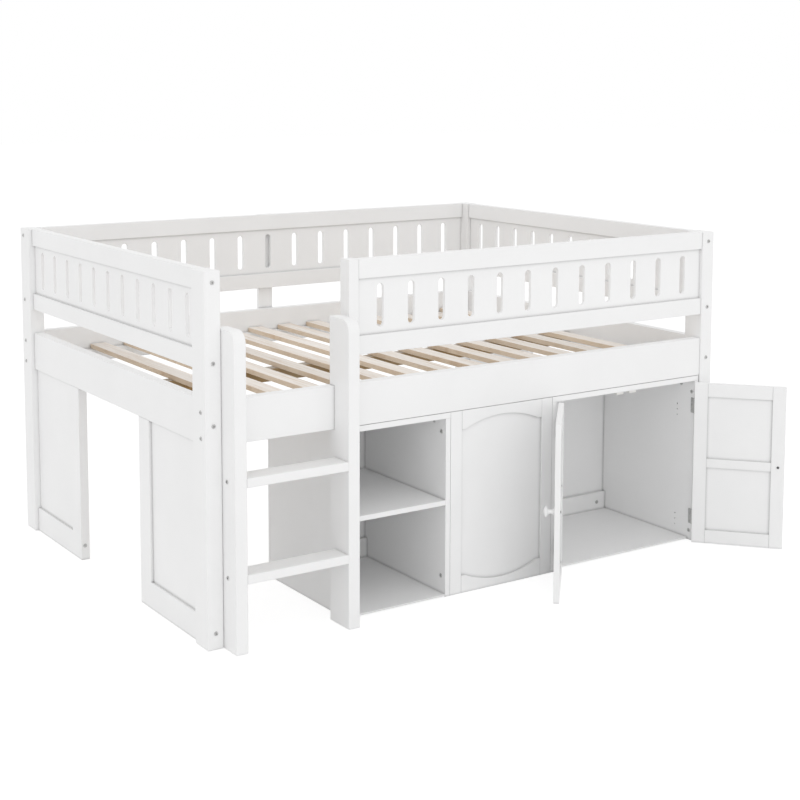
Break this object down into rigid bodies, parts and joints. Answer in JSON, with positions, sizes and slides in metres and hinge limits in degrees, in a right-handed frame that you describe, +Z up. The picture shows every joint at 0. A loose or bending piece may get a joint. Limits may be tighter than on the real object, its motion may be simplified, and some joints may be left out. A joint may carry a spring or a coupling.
{
  "type": "loft bed",
  "caption": "Low loft bed with a slatted deck, slotted guard rails, an entry ladder, open shelves and an arched-panel cabinet whose doors swing",
  "frame": {"origin": "on the floor, at the middle of the underside of the front left post", "axes": "+X along the front from the ladder end to the door end, +Y from the front to the back, +Z up"},
  "size_m": [2.1404, 1.7035, 1.1],
  "materials": {
    "white_wood": "satin white lacquer",
    "pine": "planed, unfinished",
    "steel": "zinc plated",
    "catch_plastic": "moulded",
    "knob_lacquer": "satin white lacquer"
  },
  "bodies": {
    "bed": {"back_centre_board": "white_wood", "beam_brackets": "steel", "bed_rail_back": "white_wood", "bed_rail_front": "white_wood", "bed_rail_left": "white_wood", "bed_rail_right": "white_wood", "cabinet_back": "white_wood", "cabinet_bolts": "steel", "cabinet_floor_closed_bays": "white_wood", "cabinet_floor_open_bay": "white_wood", "cabinet_partition_left": "white_wood", "cabinet_partition_right": "white_wood", "cabinet_shelf": "white_wood", "cabinet_side_left": "white_wood", "cabinet_side_right": "white_wood", "cabinet_stretchers": "white_wood", "cabinet_top": "white_wood", "centre_beam": "pine", "door_catches": "catch_plastic", "end_panel_frame_back_left": "white_wood", "end_panel_frame_back_right": "white_wood", "end_panel_frame_front_left": "white_wood", "end_panel_frame_front_right": "white_wood", "end_panel_infills": "white_wood", "fixed_panel_cleats": "white_wood", "fixed_panel_field": "white_wood", "fixed_panel_frame": "white_wood", "frame_bolts": "steel", "guard_post": "white_wood", "guard_rail_back": "white_wood", "guard_rail_front": "white_wood", "guard_rail_left": "white_wood", "guard_rail_right": "white_wood", "hinge_fixed_leaves": "steel", "ladder_bolts": "steel", "ladder_side_left": "white_wood", "ladder_side_right": "white_wood", "ladder_steps": "white_wood", "post_back_left": "white_wood", "post_back_right": "white_wood", "post_front_left": "white_wood", "post_front_right": "white_wood", "slat_ledgers": "white_wood", "slats": "pine", "slotted_panel_back": "white_wood", "slotted_panel_front": "white_wood", "slotted_panel_left": "white_wood", "slotted_panel_right": "white_wood", "top_rail_back": "white_wood", "top_rail_front": "white_wood", "top_rail_left": "white_wood", "top_rail_right": "white_wood"},
    "left_door": {"left_door_field": "white_wood", "left_door_frame": "white_wood", "left_door_hardware": "steel", "left_door_knob": "knob_lacquer"},
    "right_door": {"right_door_field": "white_wood", "right_door_frame": "white_wood", "right_door_hardware": "steel", "right_door_knob": "knob_lacquer"}
  },
  "joints": [
    {"name": "left_door_hinge", "type": "hinge", "parent": "bed", "child": "left_door", "pos_m": [1.26395, -0.03955, 0], "axis": [0, 0, 1], "range_deg": [-33.2, 131.8]},
    {"name": "right_door_hinge", "type": "hinge", "parent": "bed", "child": "right_door", "pos_m": [1.8884, -0.03955, 0], "axis": [0, 0, 1], "range_deg": [-131.8, 33]}
  ]
}
